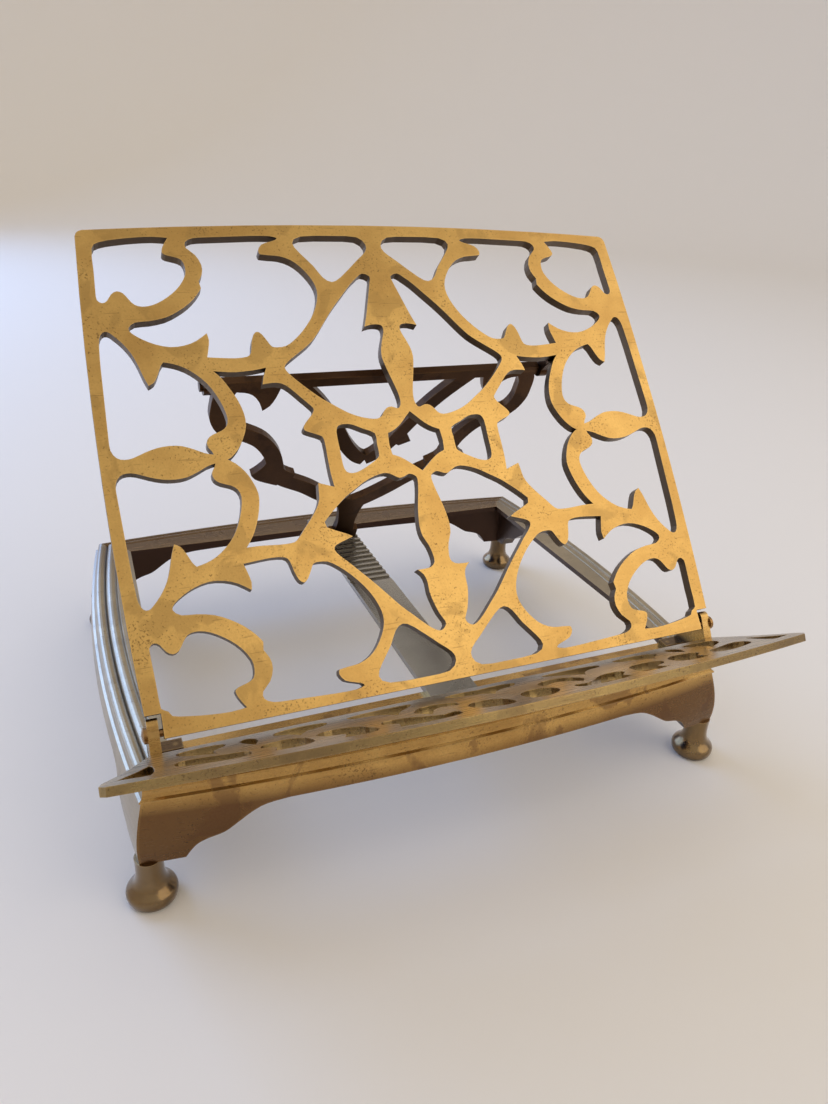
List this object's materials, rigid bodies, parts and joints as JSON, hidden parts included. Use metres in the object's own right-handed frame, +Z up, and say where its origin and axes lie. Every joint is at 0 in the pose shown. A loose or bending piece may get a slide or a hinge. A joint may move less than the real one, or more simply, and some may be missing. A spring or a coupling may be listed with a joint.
{
  "type": "book stand",
  "caption": "Tabletop book stand in aged brass: pierced scroll backrest hinged over a moulded footed base, with a pointed ledge and a prop on a ratchet bar.",
  "frame": {"origin": "middle of the overall box at the height of the feet's soles", "axes": "+X to the reader's right along the hinge, +Y away from the reader, +Z up"},
  "size_m": [0.311, 0.2932, 0.2504],
  "materials": {
    "plate_brass": "worn satin cast brass with pits and brown tarnish",
    "base_brass": "browned cast brass, polished on the mouldings",
    "bar_brass": "dull grey-brown brass strip with file marks",
    "dark_brass": "dark unpolished cast brass",
    "pin_brass": "turned brass, tarnished"
  },
  "bodies": {
    "base": {"front_rail": "base_brass", "rear_rail": "base_brass", "left_rail": "base_brass", "right_rail": "base_brass", "foot_front_left": "base_brass", "foot_front_right": "base_brass", "foot_rear_left": "base_brass", "foot_rear_right": "base_brass", "ratchet_bar": "bar_brass", "bar_screws": "pin_brass", "hinge_post_left": "plate_brass", "hinge_post_right": "plate_brass", "post_screws": "pin_brass", "book_ledge": "plate_brass", "ledge_screws": "pin_brass", "hinge_pin_left": "pin_brass", "hinge_pin_right": "pin_brass"},
    "backrest": {"backrest_plate": "plate_brass", "prop_lug_left": "dark_brass", "prop_lug_right": "dark_brass", "lug_rivets": "pin_brass", "prop_pin_left": "dark_brass", "prop_pin_right": "dark_brass"},
    "prop": {"prop_strut": "dark_brass"}
  },
  "joints": [
    {"name": "backrest_tilt", "type": "hinge", "parent": "base", "child": "backrest", "pos_m": [0, -0.08662, 0.0787], "axis": [1, 0, 0], "range_deg": [-2.5, 9]},
    {"name": "prop_swing", "type": "hinge", "parent": "backrest", "child": "prop", "pos_m": [0, 0.02193, 0.18395], "axis": [1, 0, 0], "range_deg": [-24.12, 6.7]}
  ],
  "couplings": [
    {"joint": "prop_swing", "follows": "backrest_tilt", "ratio": -2.68}
  ]
}
